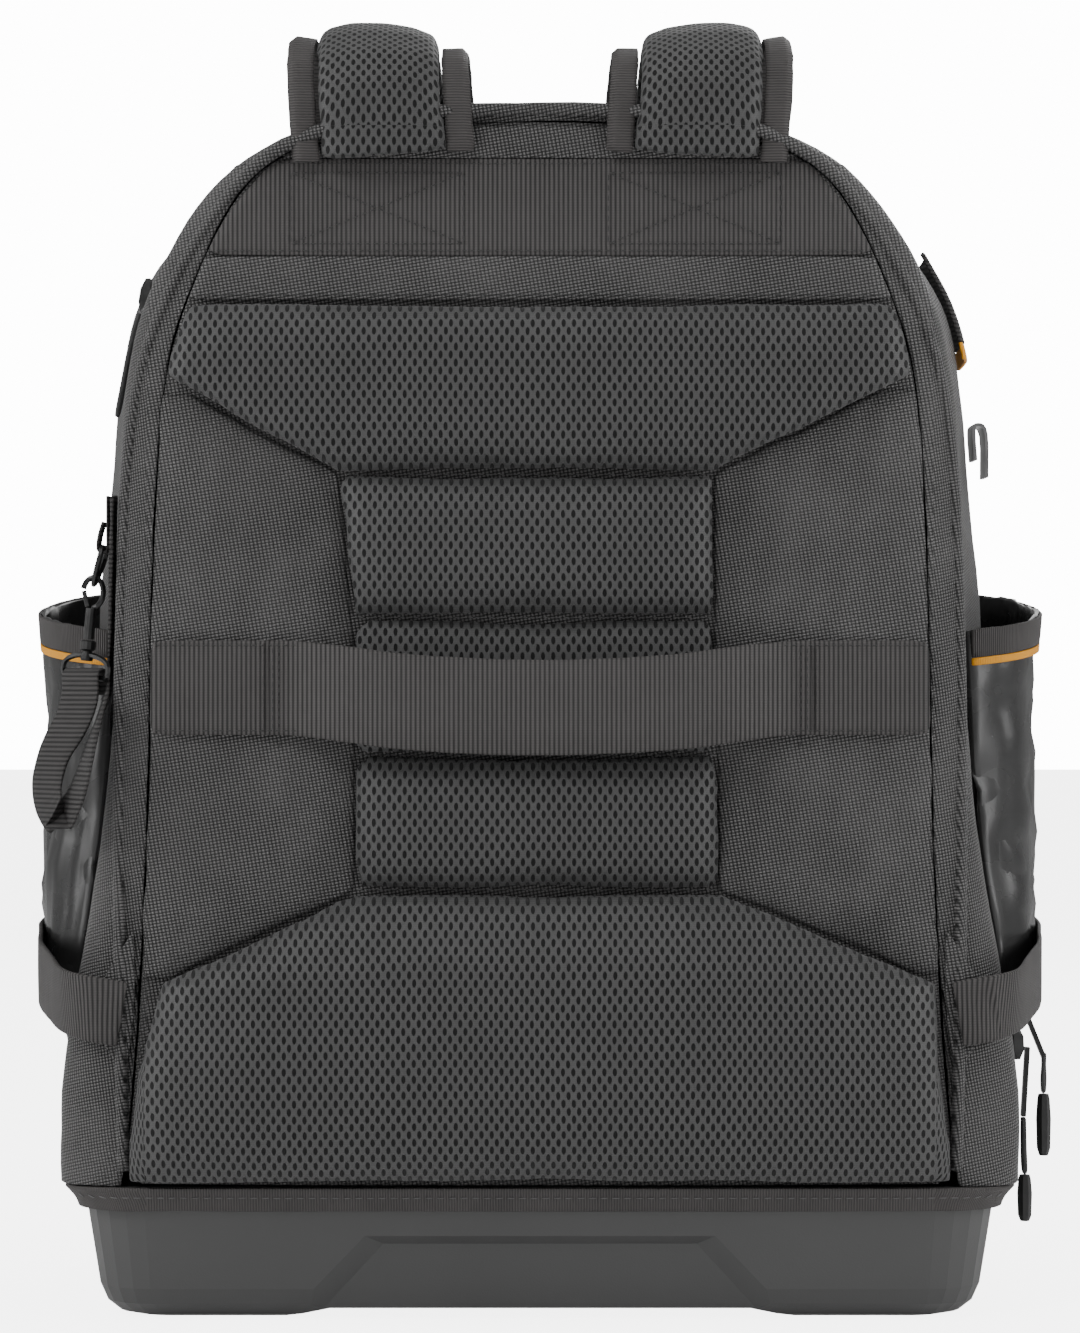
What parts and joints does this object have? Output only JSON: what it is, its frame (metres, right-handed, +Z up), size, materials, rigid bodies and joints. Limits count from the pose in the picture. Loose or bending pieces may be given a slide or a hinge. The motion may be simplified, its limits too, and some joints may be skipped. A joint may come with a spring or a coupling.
{
  "type": "tool backpack",
  "caption": "Rigid-bottomed tool backpack with a padded mesh back, a trolley sleeve, side pockets, and shoulder straps thrown over the top and buckled at the front.",
  "frame": {"origin": "centre of the part's outer box, on the floor under the moulded tray", "axes": "+Z up, +X to the right of someone who looks at the padded back panel, -Y out of the padded back panel"},
  "size_m": [0.4074, 0.254, 0.4998],
  "materials": {
    "nylon": "heavy woven nylon",
    "mesh": "open spacer mesh over foam",
    "webbing": "ribbed woven webbing",
    "binding": "folded binding tape",
    "coated": "smooth coated cloth",
    "base_plastic": "fine moulded texture",
    "piping_yellow": "yellow piping tape",
    "metal_dark": "black coated metal",
    "metal_bright": "bright steel",
    "plastic_black": "moulded black",
    "rubber": "matt moulded rubber",
    "cord": "braided cord",
    "zip": "coil zip and tape"
  },
  "bodies": {
    "root": {"back_gusset": "nylon", "main_zip": "zip", "side_gusset": "nylon", "front_shell": "nylon", "base_tray": "base_plastic", "base_binding": "binding", "back_panel": "nylon", "pad_bottom": "mesh", "pad_lower": "mesh", "pad_middle": "mesh", "pad_upper": "mesh", "pad_top": "mesh", "wing_left": "nylon", "wing_right": "nylon", "upper_strip": "nylon", "top_band": "webbing", "top_yoke": "nylon", "trolley_band_left": "webbing", "trolley_band_right": "webbing", "trolley_strap": "webbing", "strap_pad_left": "mesh", "strap_binding_left_outer": "binding", "strap_binding_left_inner": "binding", "strap_pad_right": "mesh", "strap_binding_right_outer": "binding", "strap_binding_right_inner": "binding", "strap_buckle_left": "plastic_black", "strap_buckle_right": "plastic_black", "side_pocket_left": "coated", "pocket_binding_left": "binding", "pocket_piping_left": "piping_yellow", "side_pocket_right": "coated", "pocket_binding_right": "binding", "pocket_piping_right": "piping_yellow", "front_pocket": "nylon", "front_pocket_binding": "binding", "front_pocket_piping": "piping_yellow", "strap_webbing_left": "webbing", "strap_webbing_right": "webbing", "side_tab_left": "nylon", "side_tab_right": "nylon", "hook_tab": "webbing", "d_ring": "metal_dark", "snap_hook": "metal_dark", "swivel_eye": "metal_dark", "loop_webbing": "webbing", "edge_webbing": "webbing", "edge_tab_yellow": "piping_yellow", "tape_clip": "metal_bright", "zip_slider_upper": "metal_dark", "zip_slider_lower": "metal_dark", "zip_slider_top": "metal_dark", "pull_tab_upper": "metal_dark", "pull_tab_lower": "metal_dark", "pull_cord_upper": "cord", "pull_cord_lower": "cord", "pull_loop_top": "cord", "pull_grip_upper": "rubber", "pull_grip_lower": "rubber"},
    "snap_gate": {"snap_gate": "metal_dark"}
  },
  "joints": [
    {"name": "gate_spring", "type": "hinge", "parent": "root", "child": "snap_gate", "pos_m": [-0.17393, -0.09163, 0.27351], "axis": [0, 1, 0], "range_deg": [0, 20], "stiffness_Nm_per_rad": 0.01}
  ]
}
